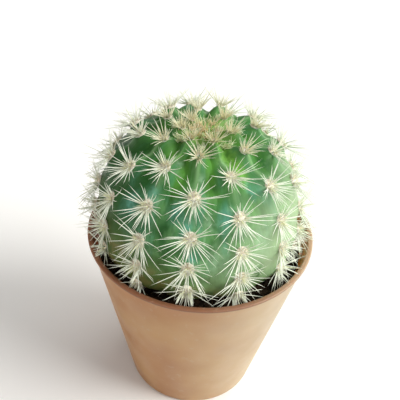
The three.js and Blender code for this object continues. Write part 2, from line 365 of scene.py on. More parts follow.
# A node group with a vector, these numbers and their usual values as inputs, and one number as output
def newGroup(name, inputs, output):
    group = bpy.data.node_groups.new(name, "ShaderNodeTree")
    group.interface.new_socket(name="Vector", in_out="INPUT", socket_type="NodeSocketVector")
    for key, value in inputs.items():
        socket = group.interface.new_socket(name=key, in_out="INPUT", socket_type="NodeSocketFloat")
        socket.default_value = value
    group.interface.new_socket(name=output, in_out="OUTPUT", socket_type="NodeSocketFloat")
    return group, group.nodes.new("NodeGroupInput"), group.nodes.new("NodeGroupOutput")


# Soft patches: a mask from noise of the given size (in metres) around a threshold
def makePatchesGroup():
    group, source, result = newGroup(
        "softPatches", {"Size": 0.003, "Threshold": 0.5, "Softness": 0.1, "Detail": 2.0}, "Mask")
    scale = maths(group, "DIVIDE", 1.0, source.outputs["Size"])
    sockets = {"Vector": source.outputs["Vector"], "Scale": scale, "Detail": source.outputs["Detail"]}
    noise = addNode(group, "TexNoise", sockets)
    low = maths(group, "SUBTRACT", source.outputs["Threshold"], source.outputs["Softness"])
    high = maths(group, "ADD", source.outputs["Threshold"], source.outputs["Softness"])
    mask = rangeOf(group, noise.outputs["Fac"], low, high)
    group.links.new(mask, result.inputs["Mask"])
    return group


# Fine relief: the height of small rounded cells mixed with noise, both of the given size (in metres)
def makeReliefGroup():
    group, source, result = newGroup(
        "fineRelief", {"Size": 0.0005, "Roundness": 0.5}, "Height")
    scale = maths(group, "DIVIDE", 1.0, source.outputs["Size"])
    sockets = {"Vector": source.outputs["Vector"], "Scale": scale}
    noise = addNode(group, "TexNoise", {**sockets, "Detail": 3.0})
    cells = addNode(group, "TexVoronoi", sockets, feature="SMOOTH_F1")
    rounded = maths(group, "SUBTRACT", 1.0, cells.outputs["Distance"])
    sockets = {0: source.outputs["Roundness"], 2: noise.outputs["Fac"], 3: rounded}
    mixed = addNode(group, "Mix", sockets, data_type="FLOAT")
    group.links.new(mixed.outputs[0], result.inputs["Height"])
    return group


patchesGroup = makePatchesGroup()
reliefGroup = makeReliefGroup()


# The sizes here are millimetres
def patches(tree, vector, size, threshold=0.5, softness=0.1, detail=2.0):
    values = {"Size": size * millimetre, "Threshold": threshold, "Softness": softness, "Detail": detail}
    made = addNode(tree, "Group", node_tree=patchesGroup)
    tree.links.new(vector, made.inputs["Vector"])
    for key, value in values.items():
        made.inputs[key].default_value = value
    return made.outputs["Mask"]


def relief(tree, vector, size, roundness, strength, distance):
    made = addNode(tree, "Group", node_tree=reliefGroup)
    tree.links.new(vector, made.inputs["Vector"])
    made.inputs["Size"].default_value = size * millimetre
    made.inputs["Roundness"].default_value = roundness
    sockets = {"Height": made.outputs["Height"], "Strength": strength, "Distance": distance * millimetre}
    return addNode(tree, "Bump", sockets).outputs["Normal"]


# The base value where the patches are absent, and more by the range where they are full
def glossOf(tree, vector, base, more, size, threshold, softness):
    varied = maths(tree, "MULTIPLY", patches(tree, vector, size, threshold, softness), more)
    return maths(tree, "ADD", varied, base)


def newMaterial(name, **constants):
    material = bpy.data.materials.new(name)
    material.use_nodes = True
    tree = material.node_tree
    shader = tree.nodes["Principled BSDF"]
    for key, value in constants.items():
        shader.inputs[key.replace("_", " ")].default_value = value
    objectPlace = addNode(tree, "TexCoord").outputs["Object"]
    return material, tree, shader, objectPlace


# The skin

skinLook = {
    "columnsPerRib": 26,
    "rings": 176,
    "lastRow": 6.9,
    "areoleReach": 2.4,      # of the paler ring round an areole
    "flowRadius": 22.0,      # the patterns that follow the ribs lie on a cylinder of this radius,
    "flowStretch": 0.30,     # with the arc along a rib shortened to this part of it
    "youngFrom": (2.7, 0.9),  # the places between which the skin is more and more like the crown's
    "youngFlank": 0.34,      # how far the furrows' green and painted shade climb the flanks there
    "youngPlain": 0.75,      # how much of the fine pattern is missing there
    "flank": 0.7,            # the ridge value where the furrows' green and painted shade end
    "diagonal": 0.70,        # the side value is the way along +X and this part of the way down
    "diagonalFrom": 11.0,    # from this height over the waist
    "slant": 0.32,           # the slanted value is the height over the soil and this part of the way to +X
    "raggedness": (1.2, 0.5, 0.2, 3.0),  # what frays the single patches, in numbers of patches,
    "leastRagged": 0.45,     # and what it leaves of them at least
    "spotStretch": 1.6,      # how much longer a single patch is along the rib
    "gloss": (0.34, 0.16, 2.0, 0.5, 0.2),  # least roughness, what patches add, and their numbers
    "coat": 0.05,
    "coatRidge": (0.3, 0.9),  # the ridge values between which the coat sets in
    "relief": (0.45, 0.5, 0.22, 0.10),     # size, roundness, strength and height
}

skinColours = {
    "deepGreen": (0.018, 0.092, 0.020, 1),
    "midGreen": (0.104, 0.285, 0.098, 1),
    "softGreen": (0.150, 0.345, 0.125, 1),
    "leafGreen": (0.070, 0.235, 0.028, 1),
    "waxBlue": (0.095, 0.330, 0.240, 1),
    "bloom": (0.400, 0.600, 0.400, 1),
    "youngGreen": (0.040, 0.155, 0.016, 1),
    "heartGreen": (0.205, 0.370, 0.085, 1),
    "freshGreen": (0.105, 0.310, 0.045, 1),
    # The next two are painted light on the side towards the lamps and painted shade on the side away from
    # them
    "washed": (0.430, 0.560, 0.340, 1),
    "shaded": (0.024, 0.085, 0.026, 1),
    "keel": (0.300, 0.520, 0.250, 1),
    # olive tone low down, darkened as painted shade near the soil
    "olive": (0.104, 0.146, 0.039, 1),
    "scurf": (0.190, 0.170, 0.058, 1),
    # dark green with painted shade, fresh green with painted light, bluish wax, and pale bloom with painted
    # highlight
    "spotDark": (0.025, 0.125, 0.026, 1),
    "spotFresh": (0.240, 0.520, 0.090, 1),
    "spotWax": (0.150, 0.450, 0.370, 1),
    "spotBloom": (0.370, 0.590, 0.370, 1),
}

# The colours laid over each other from first to last: the colour, its amount and its masks. A mask is a
# value's name, a value with the two limits between which it rises (and the lowest and highest result), or
# "flow" or "place" with the size, threshold and softness (and detail) of patches
skinLayers = [
    # The ribs' crests, warm patches beside the furrows, bluish ones on the flanks and thin pale streaks
    ("softGreen", 0.75, ("ridge", 0.80, 1.0), ("flow", 4.0, 0.48, 0.14), "grownUp"),
    ("leafGreen", 0.60, ("flow", 4.0, 0.52, 0.08), ("ridge", 1.0, 0.55), ("age", 3.4, 1.8, 0.40, 1.0)),
    ("waxBlue", 0.75, ("flow", 3.6, 0.56, 0.08), ("ridge", 0.15, 0.6), ("age", 4.4, 3.0, 0.30, 1.0)),
    ("bloom", 0.40, ("flow", 1.1, 0.58, 0.08), ("ridge", 0.35, 0.9), "grownUp"),
    # Mottle, fibres, painted shade in the dips between the tubercles, and the skin round the areoles
    ("softGreen", 0.45, ("place", 2.4, 0.52, 0.12, 4.0), "grownUp"),
    ("deepGreen", 0.30, ("place", 3.1, 0.56, 0.10, 4.0)),
    ("deepGreen", 0.36, ("flow", 0.6, 0.52, 0.12)),
    ("deepGreen", 0.45, ("dip", 0.55, 1.0)),
    ("softGreen", 0.35, "nearAreole"),
    # Round the crown, in the shoulder's furrows, but not on its far sides, and in the crown's middle
    ("youngGreen", 0.60, "young"),
    ("freshGreen", 0.65, ("age", 0.55, 1.05), ("age", 2.35, 1.6), ("ridge", 0.95, 0.30),
     ("across", -14.0, -4.0), ("across", 15.0, 10.0), ("place", 4.0, 0.34, 0.22)),
    ("heartGreen", 0.80, ("age", 0.85, 0.30)),
    # Painted light: the side towards the lamps paler; painted shade: the other side deeper green
    ("washed", 0.80, ("side", -0.5, 23.0), "old", ("overSoil", 2.0, 9.0, 0.10, 1.0)),
    ("shaded", 0.85, ("across", -5.0, -19.0)),
    # The single patches: dark ones partly painted shade, fresh ones partly painted light, bloom ones partly
    # painted highlight; and the thin line along a crest
    ("spotDark", 0.95, "darkSpot", "ragged"),
    ("spotFresh", 0.85, "freshSpot", "ragged"),
    ("spotWax", 0.75, "waxSpot", "ragged"),
    ("spotBloom", 0.55, "bloomSpot", "ragged"),
    ("keel", 0.60, "keel", ("age", 0.5, 1.3)),
    # Low down, an olive tone with painted shade next to the soil, and corky patches next to the soil
    ("olive", 0.85, ("slanted", 14.0, 2.0), ("place", 3.4, 0.32, 0.18)),
    ("scurf", 0.70, ("slanted", 8.2, 4.5), ("place", 2.4, 0.54, 0.10, 5.0)),
]

# Single patches on the front, partly painted shade, painted light and painted highlight: the place along
# the rib, the rib and the size
skinSpots = {
    # dark green with painted shade on the shoulder's facets
    "darkSpot": [(1.7, -2.3, 2.0), (1.5, 2.5, 1.9), (1.4, -3.2, 1.7), (1.2, 3.7, 1.7), (0.95, 3.1, 1.5),
                 (2.0, -1.3, 1.8), (2.9, -2.3, 1.6), (3.8, -1.55, 1.4), (4.6, 1.4, 1.5)],
    # fresh green, lightened as painted light where the fans shade it
    "freshSpot": [(1.0, 1.35, 2.2), (1.4, 1.45, 1.4), (1.1, -1.1, 1.0)],
    "waxSpot": [(2.5, 0.7, 1.5), (2.8, -0.1, 1.4), (1.9, 1.55, 1.2), (2.7, -1.45, 1.4), (2.4, -0.35, 1.2),
                (2.2, -1.0, 1.3), (3.6, 0.05, 1.0)],
    # wax bloom, and near the crown painted highlight streaks
    "bloomSpot": [(1.1, 1.0, 0.8), (1.2, -0.75, 0.8), (1.5, 0.15, 0.7), (3.3, 1.5, 2.0), (2.6, 0.35, 1.2),
                  (3.7, 0.5, 1.8)],
}


# 1 in the middle of each patch and exp(-(d / size) ** 2) around it, with the part of the distance d
# that lies along the rib divided by the stretch
def spotsAt(points, spots):
    total = np.zeros(len(points))
    for v, rib, size in spots:
        middle = skinPoint(v, rib)
        offset = points - middle["point"]
        along = offset @ middle["up"]
        squared = (offset ** 2).sum(1) - (1 - skinLook["spotStretch"] ** -2) * along ** 2
        total = np.maximum(total, np.exp(-squared / size ** 2))
    return total


# The skin on a grid: rings of equal place numbers down the plant, and columns that follow the crests
# and the furrows, so that a furrow's bottom always lies on a column
def makeSkin():
    columns = skinLook["columnsPerRib"] * plant["ribs"]
    v = np.linspace(0, skinLook["lastRow"], skinLook["rings"] + 1)[1:, None]
    place = np.arange(columns)[None, :] / skinLook["columnsPerRib"]
    left = np.floor(place)
    half = place - left
    border = borderAt(left, v)
    part = np.where(half < 0.5, 2 * half * border, border + (2 * half - 1) * (1 - border))
    skin = skinPoint(v, left + part)
    rings = skin["point"]
    lifted = softNoise(rings, plant["unevenSize"], seeds["skin"]) * plant["unevenness"]
    lifted = lifted + skin["keel"] * plant["keelHeight"]
    rings = rings + skin["out"] * lifted[..., None]
    lastOpen = skinPoint(np.full((1, columns), skinLook["lastRow"]), left + part[-1:],
                         arc=np.full((1, columns), outlineLength))["point"]
    neck = [(plant["neckRadius"], outlineZ[-1] - plant["shoulder"]),
            (plant["neckRadius"] * plant["neckTaper"], neckBottom)]
    neckRings = [circlePoint(r, skin["angle"][-1:], z) + plantShift for r, z in neck]
    stack = np.concatenate([rings, lastOpen, *neckRings])
    crown = (*plantOffset, outlineZ[0] - plant["crownDip"])
    points, faces = closedStacks(stack[None], crown, (*plantOffset, neckBottom), down=True)
    gap = np.full(len(points), np.inf)
    for middle in areole["point"]:
        gap = np.minimum(gap, np.linalg.norm(points - middle, axis=1))
    extra = len(points) - rings[..., 0].size
    arc = skinLook["flowStretch"] * arcAt(v, left + part)
    flow = circlePoint(skinLook["flowRadius"], skin["angle"], arc).reshape(-1, 3) * millimetre
    # Each value on the grid, and the one it has from there down to the neck's end
    grids = {"age": (np.broadcast_to(v, arc.shape), skinLook["lastRow"]), "ridge": (skin["ridge"], 1),
             "dip": (skin["dip"], 0), "keel": (skin["keel"], 0)}
    values = {name: np.concatenate([grid.ravel(), np.full(extra, below)])
              for name, (grid, below) in grids.items()}
    values["nearAreole"] = np.exp(-((gap / skinLook["areoleReach"]) ** 2))
    values["flow"] = np.concatenate([flow, np.zeros((extra, 3))])
    for name, spots in skinSpots.items():
        values[name] = spotsAt(points, spots)
    return addMesh("cactusSkin", points, faces, makeSkinMaterial(), values)


# The values that the layers' masks are made of; lengths among them are millimetres
def skinValues(tree, place):
    look = skinLook
    names = ("age", "ridge", "dip", "keel", "nearAreole", *skinSpots)
    values = {name: attribute(tree, name) for name in names}
    values["flow"] = attribute(tree, "flow", "Vector")
    values["place"] = place
    values["across"], height = acrossAndHeight(tree, place)
    values["overSoil"] = maths(tree, "SUBTRACT", height, soilTop)
    down = maths(tree, "SUBTRACT", waistZ + look["diagonalFrom"], height)
    values["side"] = maths(tree, "ADD", values["across"], product(tree, down, look["diagonal"]))
    aside = product(tree, values["across"], look["slant"])
    values["slanted"] = maths(tree, "ADD", values["overSoil"], aside)
    values["young"] = rangeOf(tree, values["age"], *look["youngFrom"])
    values["old"] = maths(tree, "SUBTRACT", 1.0, values["young"])
    values["grownUp"] = maths(tree, "SUBTRACT", 1.0, product(tree, values["young"], look["youngPlain"]))
    torn = patches(tree, place, *look["raggedness"])
    values["ragged"] = rangeOf(tree, torn, 0.0, 1.0, look["leastRagged"], 1.0)
    return values


def maskOf(tree, values, mask):
    if isinstance(mask, str):
        return values[mask]
    name, *numbers = mask
    make = patches if name in ("flow", "place") else rangeOf
    return make(tree, values[name], *numbers)


def makeSkinMaterial():
    look, colours = skinLook, skinColours
    material, tree, shader, place = newMaterial(
        "waxyGreenSkin", Specular_IOR_Level=0.09, Coat_Roughness=0.35, Subsurface_Weight=0.10,
        Subsurface_Scale=0.0012, Subsurface_Radius=(0.6, 1.0, 0.35))
    values = skinValues(tree, place)
    # The furrows darker: partly their own deeper green, partly painted shade
    lowered = maths(tree, "SUBTRACT", values["ridge"], product(tree, values["young"], look["youngFlank"]))
    onFlank = rangeOf(tree, lowered, 0.0, look["flank"])
    body = blend(tree, onFlank, colours["deepGreen"], colours["midGreen"])
    for colour, amount, *masks in skinLayers:
        body = layer(tree, body, colours[colour], amount, *[maskOf(tree, values, mask) for mask in masks])
    tree.links.new(body, shader.inputs["Base Color"])
    tree.links.new(glossOf(tree, values["flow"], *look["gloss"]), shader.inputs["Roughness"])
    coated = product(tree, rangeOf(tree, values["ridge"], *look["coatRidge"]), look["coat"])
    tree.links.new(coated, shader.inputs["Coat Weight"])
    tree.links.new(relief(tree, place, *look["relief"]), shader.inputs["Normal"])
    return material


# The felt of the areoles

felt = {
    "halfAcross": 1.30,   # millimetres to the sides
    "halfAlong": 1.56,    # along the rib
    "height": 0.58,
    "sunk": 0.26,
    "columns": 14,
    "rings": 5,
    "foot": 0.3,          # from the rim down to the lowest point, inside the skin
    "fullness": 0.8,
    "lumps": 0.12,
    "lumpSize": 0.55,
    "hairs": 170,
    "hairBand": (0.15, 1.35),  # the t on the dome between which they stand
    "hairLength": 0.80,
    "hairVaries": (0.6, 1.3),  # times the length
    "hairThickness": 0.060,
    "hairSplay": 0.9,     # how much they lean outwards,
    "hairRise": 0.35,     # how much more than the dome they point away from the skin,
    "hairMess": 0.35,     # and by how much they stray from that
    "hairSunk": 0.15,
    "youngSize": 0.38,    # of the felts next to the crown
    "grown": (0.0, 2.3),  # the places between which they reach their full size
    "lower": (0.97, 0.98, 0.83, 1),
    "upper": (0.98, 0.85, 0.66, 1),      # the half towards the crown
    "hairTip": (0.98, 0.95, 0.88, 1),
}

areoleSize = felt["youngSize"] + (1 - felt["youngSize"]) * smoothStep(areoleV, *felt["grown"])


# The middle of each areole, at this part of its felt's height
def feltPoint(part):
    return areole["point"] + areole["out"] * (part * felt["height"] - felt["sunk"]) * areoleSize[:, None]


# Felt pads: domes with radius sin(t) ** fullness and height cos(t), longer along the rib, with soft lumps
def makeFelt():
    columns, ringCount = felt["columns"], felt["rings"]
    t = np.linspace(0, 0.5 * np.pi, ringCount + 1)[1:]
    angle = turns(columns)
    wide = np.sin(t) ** felt["fullness"]
    side = felt["halfAcross"] * np.outer(wide, np.cos(angle))
    along = felt["halfAlong"] * np.outer(wide, np.sin(angle))
    lift = felt["height"] * np.cos(t)[:, None] * np.ones(columns) - felt["sunk"]
    size = areoleSize[:, None, None, None]
    rings = areole["point"][:, None, None] + size * (
        side[None, ..., None] * areole["east"][:, None, None]
        + along[None, ..., None] * areole["up"][:, None, None]
        + lift[None, ..., None] * areole["out"][:, None, None])
    lumps = softNoise(rings, felt["lumpSize"], seeds["felt"]) * felt["lumps"]
    rings = rings + lumps[..., None] * areole["out"][:, None, None]
    bottom = areole["point"] - areole["out"] * (felt["sunk"] + felt["foot"])
    points, faces = closedStacks(rings, feltPoint(1), bottom, down=True)
    upper = np.concatenate([np.outer(np.sin(t), np.sin(angle)).ravel(), [0, 0]])
    hairPoints, hairFaces, hairAlong, hairUpper = makeHairs()
    faces = faces + [face + len(points) for face in hairFaces]
    values = {"upper": np.concatenate([np.tile(upper, len(bottom)), hairUpper]),
              "hair": np.concatenate([np.zeros(len(points)), hairAlong])}
    points = np.concatenate([points, hairPoints])
    return addMesh("areoleFelt", points, faces, makeFeltMaterial(), values)


# Short wool hairs on each pad, leaning outwards from its middle
def makeHairs():
    draw = np.random.default_rng(seeds["hairs"])
    shape = (len(areoleV), felt["hairs"])
    angle = draw.uniform(0, 2 * np.pi, shape)
    t = draw.uniform(*felt["hairBand"], shape)
    side = (np.cos(angle) * np.sin(t))[..., None] * areole["east"][:, None] * felt["halfAcross"]
    side = side + (np.sin(angle) * np.sin(t))[..., None] * areole["up"][:, None] * felt["halfAlong"]
    lift = (felt["height"] * np.cos(t) - felt["sunk"])[..., None] * areole["out"][:, None]
    size = areoleSize[:, None, None]
    root = areole["point"][:, None] + size * (side + lift)
    rise = (felt["hairRise"] + np.cos(t))[..., None]
    direction = side * felt["hairSplay"] + areole["out"][:, None] * rise
    direction = unit(direction + draw.normal(0, felt["hairMess"], direction.shape))
    length = felt["hairLength"] * draw.uniform(*felt["hairVaries"], shape)[..., None] * size
    tip = root + direction * length
    root = root - direction * felt["hairSunk"]
    points, faces, along = needles(root.reshape(-1, 3), tip.reshape(-1, 3), felt["hairThickness"] / 2,
                                   sides=3, stops=(0, 0.6))
    upper = (np.sin(angle) * np.sin(t)).ravel()
    return points, faces, along, np.repeat(upper, len(along) // len(upper))


# Tapered needles: rings of radius base * (1 - t) ** 0.65 on the line from root to tip, bowed by
# bow * 4t(1 - t) sideways, and closed at both ends
def needles(root, tip, radius, sides=5, stops=(0, 0.35, 0.75), bow=None):
    axis = unit(tip - root)
    helper = np.where(np.abs(axis[:, 2:]) < 0.9, [[0.0, 0.0, 1.0]], [[1.0, 0.0, 0.0]])
    first = unit(np.cross(helper, axis))
    second = np.cross(axis, first)
    t = np.array(stops)
    radius = np.broadcast_to(radius, len(root))
    spoke = turns(sides)
    circle = np.cos(spoke)[None, :, None] * first[:, None] + np.sin(spoke)[None, :, None] * second[:, None]
    centre = root[:, None] + (tip - root)[:, None] * t[None, :, None]
    if bow is not None:
        centre = centre + bow[:, None] * (4 * t * (1 - t))[None, :, None]
    width = radius[:, None] * ((1 - t) ** 0.65)[None, :]
    rings = centre[:, :, None] + circle[:, None] * width[..., None, None]
    points, faces = closedStacks(rings, root, tip)
    along = np.concatenate([np.repeat(t, sides), [0, 1]])
    return points, faces, np.tile(along, len(root))


def makeFeltMaterial():
    material, tree, shader, place = newMaterial(
        "areoleFeltWool", Roughness=0.95, Specular_IOR_Level=0.15, Sheen_Weight=0.35, Sheen_Roughness=0.5,
        Subsurface_Weight=0.45, Subsurface_Scale=0.0008, Subsurface_Radius=(1.0, 0.85, 0.7))
    upper = attribute(tree, "upper")
    colour = blend(tree, rangeOf(tree, upper, -0.35, 0.45), felt["lower"], felt["upper"])
    colour = layer(tree, colour, felt["hairTip"], 0.6, attribute(tree, "hair"))
    colour = layer(tree, colour, felt["hairTip"], 0.25, patches(tree, place, 0.6, 0.5, 0.2))
    tree.links.new(colour, shader.inputs["Base Color"])
    tree.links.new(relief(tree, place, 0.18, 0.3, 0.6, 0.1), shader.inputs["Normal"])
    return material


# The spines

spines = {
    "radial": 29,
    "length": 5.9,
    "upReach": 0.42,      # part of the length that a spine has towards the crown,
    "sideReach": 0.60,    # what it gains to the sides,
    "downReach": 0.26,    # and downwards
    "crowding": 0.42,     # how much denser they stand below an areole than above
    "bundling": 0.30,     # how much a fan's spines gather in bundles, radians
    "lopsided": 0.22,     # how much longer one side of a fan is than the other
    "uneven": 0.55,       # how much the length varies
    "jitter": 0.32,       # how far a spine stands from its turn, as part of the step between two
    "lean": (0.20, 0.78),  # radians over the skin
    "standing": 7,        # more spines that stand away from the skin
    "standingLean": (0.65, 1.30),
    "standingLength": 0.66,
    "standingRing": 0.6,
    "youngLean": 0.75,    # more, next to the crown and on its side
    "grown": (0.4, 2.4),  # the places between which the fans reach their full size and spread,
    "fadeAndPaintedLight": (0.5, 1.8),  # and between which their spines lose the young colour
    "thickness": 0.235,
    "varies": (0.8, 1.15),  # times the thickness
    "bow": 0.07,          # sideways, as part of the length
    "ring": 0.85,         # from the middle of the areole to a radial spine's root
    "sunk": 0.25,
    "clearance": 0.25,    # to the pot and the soil
    "overhang": 0.45,     # how far past the lip they may reach, for each millimetre over it
    "tries": 60,
    "raiseStep": 0.05,
    "turnStep": 0.10,     # radians, away from straight down
    "mostTurned": 1.45,
    "steepest": 1.30,
    "cutTo": 0.9,         # in each step of the cutting
    "shortest": 0.45,
    "youngSize": 0.60,
    "root": (0.88, 0.87, 0.70, 1),
    "middle": (0.93, 0.98, 0.86, 1),
    "tip": (0.92, 0.96, 0.80, 1),
    "young": (0.74, 0.68, 0.38, 1),      # next to the crown
}

centrals = {
    "count": 16,
    "length": (0.9, 1.8),
    "lean": (0.70, 1.5),
    "thickness": 0.17,
    "ring": 0.70,
    "long": 1,            # of them, one is nearly as long as a radial spine
    "longLength": 3.9,
    "paler": 0.7,         # than the tuft
    "root": (0.76, 0.72, 0.40, 1),
    "middle": (0.86, 0.91, 0.60, 1),
    "tip": (0.90, 0.97, 0.74, 1),
    "young": (0.70, 0.43, 0.18, 1),
}

crownTuft = {
    "buds": (1, 6, 7),    # in rings round the middle
    "budRing": (0.0, 2.6, 6.6),
    "budTurn": (0.5, 0.5, 0.0),  # of a ring, in steps from one bud to the next
    "spinesEach": 32,
    "spread": 0.46,       # of a bud's spine roots
    "between": 150,       # spines between the buds
    "radius": 6.8,
    "length": (0.9, 2.1),
    "lean": 0.85,
    "edgeLean": 0.55,     # more, away from the crown's middle
    "sunk": 0.3,
    "thickness": 0.17,
}


# The fans' size, their spines' relative thickness, and how young they look
fanGrown = smoothStep(areoleV, *spines["grown"])[:, None]
fanSize = spines["youngSize"] + (1 - spines["youngSize"]) * fanGrown
fanSlimness = 0.6 + 0.4 * fanSize
fanYoung = 1 - smoothStep(areoleV, *spines["fadeAndPaintedLight"])[:, None]


# Whether a spine from root to tip keeps clear of the pot's rim and of the soil
def isClear(root, tip):
    clear = np.ones(root.shape[:-1], bool)
    for part in (0.3, 0.5, 0.7, 0.85, 1):
        x, y, z = np.moveaxis(root + (tip - root) * part, -1, 0)
        fromAxis = np.hypot(x, y) + spines["clearance"]
        overSoil = z > soilTop + soilLook["crumb"] + spines["clearance"]
        overLip = z > potShape["height"] + spines["clearance"]
        inside = fromAxis < potInside(potShape["height"])
        overhang = fromAxis < potShape["lipRadius"] + spines["overhang"] * (z - potShape["height"])
        clear &= overSoil & (overLip & overhang | inside)
    return clear


# The direction in the skin at an angle from straight down
def sideAt(angle):
    return (areole["east"][:, None] * np.sin(angle)[..., None]
            - areole["up"][:, None] * np.cos(angle)[..., None])


# Straight spines that are turned sideways and raised in steps, and then cut shorter, until they are
# clear of pot and soil. They stand at a part of the felt's height, and as far from its middle as "ring"
def clearTips(part, ring, angle, length, lean):
    base, out, fullLength = feltPoint(part)[:, None], areole["out"][:, None], length
    for _ in range(spines["tries"]):
        side = sideAt(angle)
        root = base + side * ring[..., None]
        tip = root + (side * np.cos(lean)[..., None] + out * np.sin(lean)[..., None]) * length[..., None]
        blocked = ~isClear(root, tip)
        if not blocked.any():
            break
        straight = np.angle(np.exp(1j * angle))
        turning = blocked & (np.abs(straight) < spines["mostTurned"])
        angle = np.where(turning, straight + np.where(straight < 0, -1, 1) * spines["turnStep"], angle)
        steep = lean >= spines["steepest"]
        lean = np.where(blocked & ~steep, lean + spines["raiseStep"], lean)
        length = np.where(blocked & steep, length * spines["cutTo"], length)
    keep = ~blocked & (length > spines["shortest"] * fullLength)
    return root, tip, side, keep


# A piece of needles with an amount of the young colour for each
def addSpines(name, materialName, look, root, tip, thickness, young, bow=None):
    points, faces, along = needles(root, tip, thickness / 2, bow=bow)
    values = {"along": along, "young": np.repeat(young, len(along) // len(young))}
    return addMesh(name, points, faces, makeSpineMaterial(materialName, look), values)


# A fan of spines round each areole: the k-th stands at the angle 2 pi t - crowding sin(2 pi t) from
# straight down, shifted by 2 bundling / n times sin(n times that angle + a turn), is longest to the
# sides, and leans a little over the skin
def makeFans():
    draw = np.random.default_rng(seeds["fans"])
    radial, standing = spines["radial"], spines["standing"]
    shape = (len(areoleV), radial + standing)
    index = np.arange(radial + standing)
    stands = index >= radial
    turn = draw.uniform(0, 1, (shape[0], 1))
    step = np.where(stands, (index - radial) / standing, index / radial)
    t = step + turn / shape[1] + draw.uniform(-spines["jitter"], spines["jitter"], shape) / radial
    angle = 2 * np.pi * t - spines["crowding"] * np.sin(2 * np.pi * t)
    bundles = draw.integers(4, 8, turn.shape)
    angle = angle + spines["bundling"] / bundles * 2 * np.sin(bundles * angle + 2 * np.pi * turn)
    reach = (spines["upReach"] + spines["sideReach"] * np.abs(np.sin(angle))
             + spines["downReach"] * np.maximum(np.cos(angle), 0))
    reach = reach * (1 + spines["lopsided"] * draw.uniform(-1, 1, turn.shape) * np.sin(angle))
    full = fanSize * spines["length"]
    length = full * reach * (1 + draw.uniform(-0.5, 0.5, shape) * spines["uneven"])
    length = np.where(stands, full * spines["standingLength"] * draw.uniform(0.7, 1.15, shape), length)
    towardsCrown = 0.35 + 0.65 * (0.5 - 0.5 * np.cos(angle))
    lean = draw.uniform(*spines["lean"], shape) + spines["youngLean"] * (1 - fanGrown) * towardsCrown
    lean = np.where(stands, draw.uniform(*spines["standingLean"], shape), lean)
    ring = spines["ring"] * fanSize * draw.uniform(0.7, 1.3, shape)
    ring = ring * np.where(stands, spines["standingRing"], 1)
    root, tip, side, keep = clearTips(0.55, ring, angle, length, lean)
    sideways = draw.normal(0, 0.5, shape) * spines["bow"] * length
    bow = np.cross(areole["out"][:, None], side) * sideways[..., None]
    thickness = spines["thickness"] * fanSlimness * draw.uniform(*spines["varies"], shape)
    root = root - unit(tip - root) * spines["sunk"]
    young = np.broadcast_to(fanYoung, shape)
    return addSpines("radialSpines", "whiteSpine", spines, root[keep], tip[keep], thickness[keep],
                     young[keep], bow[keep])


# Short stout spines that stand up out of each felt, one of them longer, and the crown's tuft
def makeCentrals():
    draw = np.random.default_rng(seeds["centrals"])
    shape = (len(areoleV), centrals["count"])
    longest = slice(0, centrals["long"])
    angle = draw.uniform(0, 2 * np.pi, shape)
    length = draw.uniform(*centrals["length"], shape)
    length[:, longest] = centrals["longLength"] * draw.uniform(0.75, 1.1, length[:, longest].shape)
    lean = draw.uniform(*centrals["lean"], shape)
    ring = centrals["ring"] * fanSize * draw.uniform(0.2, 1.3, shape)
    root, tip, _, keep = clearTips(0.6, ring, angle, length * fanSize, lean)
    thickness = centrals["thickness"] * fanSlimness * draw.uniform(*spines["varies"], shape)
    thickness[:, longest] = spines["thickness"] * fanSlimness
    young = centrals["paler"] * np.broadcast_to(fanYoung, shape)
    own = (root[keep], tip[keep], thickness[keep], young[keep])
    both = [np.concatenate(parts) for parts in zip(own, tuftSpines(draw))]
    return addSpines("youngSpines", "tanYoungSpine", centrals, *both)


# The dense young spines in the middle of the crown: most gather in buds, which stand in rings, and
# the others are spread evenly by the golden angle
def tuftSpines(draw):
    index = np.arange(crownTuft["between"])
    distance = crownTuft["radius"] * np.sqrt((index + 0.5) / len(index))
    angle = index * np.pi * (3 - 5 ** 0.5)
    for count, ring, turn in zip(crownTuft["buds"], crownTuft["budRing"], crownTuft["budTurn"]):
        bud = 2 * np.pi * (np.arange(count) + turn) / count
        bud = np.repeat(bud, crownTuft["spinesEach"])
        offset = draw.normal(0, crownTuft["spread"], (2, len(bud)))
        x, y = ring * np.cos(bud) + offset[0], ring * np.sin(bud) + offset[1]
        distance = np.concatenate([distance, np.hypot(x, y)])
        angle = np.concatenate([angle, np.arctan2(y, x)])
    index = np.arange(len(angle))
    around = angle / (2 * np.pi) * plant["ribs"] % plant["ribs"]
    skin = skinPoint(distance / rows["firstStep"], around)
    length = draw.uniform(*crownTuft["length"], len(index))[:, None]
    lean = skin["out"] + draw.normal(0, crownTuft["lean"] / 2, (len(index), 3))
    outwards = (crownTuft["edgeLean"] * distance / crownTuft["radius"])[:, None]
    lean = unit(lean - skin["up"] * outwards)
    thickness = np.full(len(index), crownTuft["thickness"])
    young = np.clip(1.3 - distance / (0.75 * crownTuft["radius"]), 0, 1)
    root = skin["point"] - lean * crownTuft["sunk"]
    return root, skin["point"] + lean * length, thickness, young


def makeSpineMaterial(name, look):
    material, tree, shader, place = newMaterial(name, Roughness=0.40, Specular_IOR_Level=0.5)
    along = attribute(tree, "along")
    colour = blend(tree, rangeOf(tree, along, 0.0, 0.35), look["root"], look["middle"])
    colour = blend(tree, rangeOf(tree, along, 0.55, 1.0), colour, look["tip"])
    nearRoot = rangeOf(tree, along, 1.5, 0.1)
    colour = layer(tree, colour, look["young"], 0.85, attribute(tree, "young"), nearRoot)
    colour = layer(tree, colour, look["root"], 0.14, patches(tree, place, 2.5, 0.5, 0.15))
    tree.links.new(colour, shader.inputs["Base Color"])
    return material


# The soil

